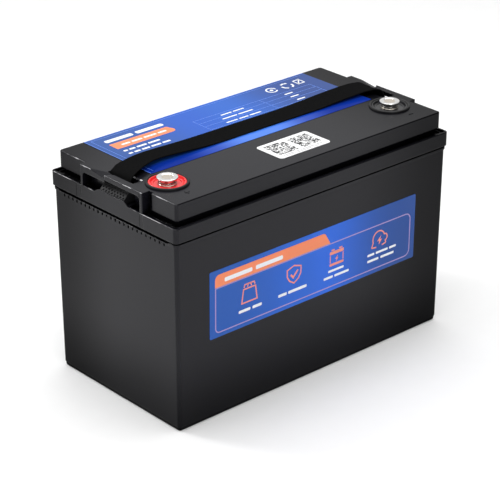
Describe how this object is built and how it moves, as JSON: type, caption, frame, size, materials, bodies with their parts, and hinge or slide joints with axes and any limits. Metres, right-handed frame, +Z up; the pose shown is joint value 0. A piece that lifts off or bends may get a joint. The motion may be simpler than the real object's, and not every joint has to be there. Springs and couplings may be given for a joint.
{
  "type": "deep cycle battery",
  "caption": "Sealed lithium deep cycle battery: tapered case, collared lid with a raised cover, lifting strap handle held under end bridge bars, and screw terminals.",
  "frame": {"origin": "centre of the footprint on the resting face", "axes": "+X along the battery from the positive terminal's end to the negative one's, -Y the labelled front, +Z up"},
  "size_m": [0.33, 0.173, 0.2207],
  "materials": {
    "case_plastic": "satin",
    "webbing": "matte",
    "anchor_plastic": "matte",
    "red_plastic": "gloss",
    "black_plastic": "satin",
    "seal_rubber": "matte",
    "plated_brass": "satin",
    "plated_steel": "satin",
    "blue_label": "satin",
    "white_sticker": "satin",
    "sealant": "satin",
    "foam": "matte",
    "cell_can": "satin",
    "cell_aluminium": "satin",
    "insulating_board": "satin",
    "copper": "satin",
    "steel_band": "satin",
    "circuit_board": "satin",
    "chip_black": "satin",
    "connector_white": "satin",
    "red_cable": "satin",
    "black_cable": "satin",
    "wire": "satin"
  },
  "bodies": {
    "case": {"balance_connector": "connector_white", "balance_harness": "wire", "bms_board": "circuit_board", "bms_cable": "black_cable", "bms_heat_sink": "cell_aluminium", "bms_mosfets": "chip_black", "bms_power_blocks": "copper", "bms_screws": "plated_steel", "bms_standoffs": "plated_steel", "board_spacers": "connector_white", "bottom_foam_pad": "foam", "busbar_nuts": "plated_steel", "cable_lugs": "copper", "case_box": "case_plastic", "cell_1": "cell_can", "cell_2": "cell_can", "cell_3": "cell_can", "cell_4": "cell_can", "cell_busbars": "copper", "cell_cover_board": "insulating_board", "cell_gap_pads": "insulating_board", "cell_posts": "cell_aluminium", "cell_vents": "cell_aluminium", "code_sticker": "white_sticker", "compression_bands": "steel_band", "end_plates": "cell_aluminium", "front_label": "blue_label", "left_end_foam": "foam", "lid_base": "case_plastic", "lid_seal": "sealant", "negative_cable": "black_cable", "negative_terminal_cup": "black_plastic", "negative_terminal_post": "plated_brass", "negative_terminal_seal": "seal_rubber", "positive_cable": "red_cable", "positive_terminal_cup": "red_plastic", "positive_terminal_post": "plated_brass", "positive_terminal_seal": "seal_rubber", "post_nuts": "plated_steel", "right_end_foam": "foam", "temperature_probe": "black_cable", "top_cover": "case_plastic", "top_label": "blue_label"},
    "handle_strap": {"handle_strap": "webbing"},
    "left_strap_anchor": {"left_strap_anchor": "anchor_plastic"},
    "right_strap_anchor": {"right_strap_anchor": "anchor_plastic"},
    "positive_washers": {"positive_flat_washer": "plated_steel", "positive_lock_washer": "plated_steel"},
    "positive_bolt": {"positive_terminal_bolt": "plated_steel"},
    "negative_washers": {"negative_flat_washer": "plated_steel", "negative_lock_washer": "plated_steel"},
    "negative_bolt": {"negative_terminal_bolt": "plated_steel"}
  },
  "joints": [
    {"name": "strap_lift", "type": "slide", "parent": "case", "child": "handle_strap", "axis": [0, 0, 1], "range_m": [0, 0.036]},
    {"name": "left_anchor_rise", "type": "slide", "parent": "handle_strap", "child": "left_strap_anchor", "axis": [0, 0, 1], "range_m": [-0.0321, 0]},
    {"name": "right_anchor_rise", "type": "slide", "parent": "handle_strap", "child": "right_strap_anchor", "axis": [0, 0, 1], "range_m": [-0.0321, 0]},
    {"name": "positive_bolt_rise", "type": "slide", "parent": "case", "child": "positive_washers", "axis": [0, 0, 1], "range_m": [0, 0.01255]},
    {"name": "positive_bolt_turn", "type": "hinge", "parent": "positive_washers", "child": "positive_bolt", "pos_m": [-0.134, -0.039, 0.2152], "axis": [0, 0, 1], "range_deg": [0, 3600]},
    {"name": "negative_bolt_rise", "type": "slide", "parent": "case", "child": "negative_washers", "axis": [0, 0, 1], "range_m": [0, 0.01255]},
    {"name": "negative_bolt_turn", "type": "hinge", "parent": "negative_washers", "child": "negative_bolt", "pos_m": [0.134, -0.039, 0.2152], "axis": [0, 0, 1], "range_deg": [0, 3600]}
  ],
  "couplings": [
    {"joint": "left_anchor_rise", "follows": "strap_lift", "ratio": -0.8888},
    {"joint": "right_anchor_rise", "follows": "strap_lift", "ratio": -0.8888},
    {"joint": "positive_bolt_rise", "follows": "positive_bolt_turn", "m_per_rad": 0.00019894},
    {"joint": "negative_bolt_rise", "follows": "negative_bolt_turn", "m_per_rad": 0.00019894}
  ]
}
